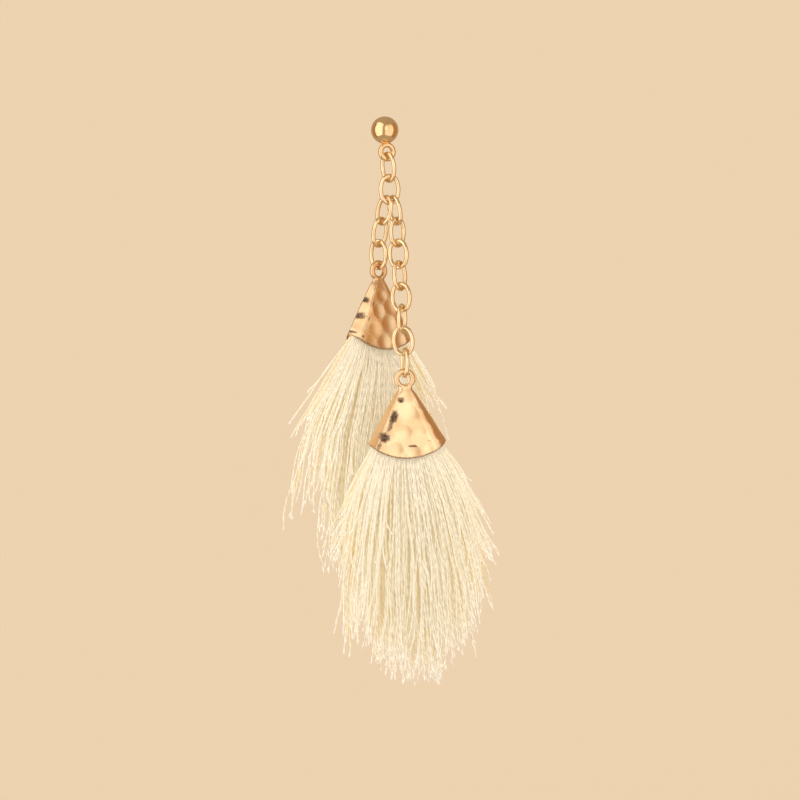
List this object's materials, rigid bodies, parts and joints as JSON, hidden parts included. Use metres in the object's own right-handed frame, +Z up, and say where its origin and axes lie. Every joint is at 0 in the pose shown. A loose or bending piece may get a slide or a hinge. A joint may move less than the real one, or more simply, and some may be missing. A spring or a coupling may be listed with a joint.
{
  "type": "tassel earring",
  "caption": "Drop earring with a ball stud, two oval-link chains of unequal length, and a hammered fan-shaped cap with a thread tassel on each chain.",
  "frame": {"origin": "on the post's axis, in the plane of the ear lobe's front face, where the ball meets the lobe", "axes": "+Y along the post, from the ball into the lobe; +Z up; +X to the right as the wearer's front is seen from -Y"},
  "size_m": [0.0274, 0.0208, 0.0825],
  "materials": {
    "polished_gold": "polished",
    "chain_gold": "gloss",
    "hammered_gold": "satin",
    "thread": "matte"
  },
  "bodies": {
    "stud_and_chains": {"ear_stud": "polished_gold", "shared_link_1": "chain_gold", "shared_link_2": "chain_gold", "short_link_1": "chain_gold", "short_link_2": "chain_gold", "short_link_3": "chain_gold", "long_link_1": "chain_gold", "long_link_2": "chain_gold", "long_link_3": "chain_gold", "long_link_4": "chain_gold", "long_link_5": "chain_gold", "long_link_6": "chain_gold", "long_link_7": "chain_gold", "long_link_8": "chain_gold"},
    "short_drop": {"short_cap": "hammered_gold", "short_tassel": "thread"},
    "long_drop": {"long_cap": "hammered_gold", "long_tassel": "thread"}
  },
  "joints": [
    {"name": "short_drop_swing", "type": "hinge", "parent": "stud_and_chains", "child": "short_drop", "pos_m": [-0.00091, -0.00103, -0.02007], "axis": [-0.2079, 0.9781, 0], "range_deg": [-15, 15]},
    {"name": "long_drop_swing", "type": "hinge", "parent": "stud_and_chains", "child": "long_drop", "pos_m": [0.00291, -0.00716, -0.03589], "axis": [-0.2079, 0.9781, 0], "range_deg": [-20, 20]}
  ]
}
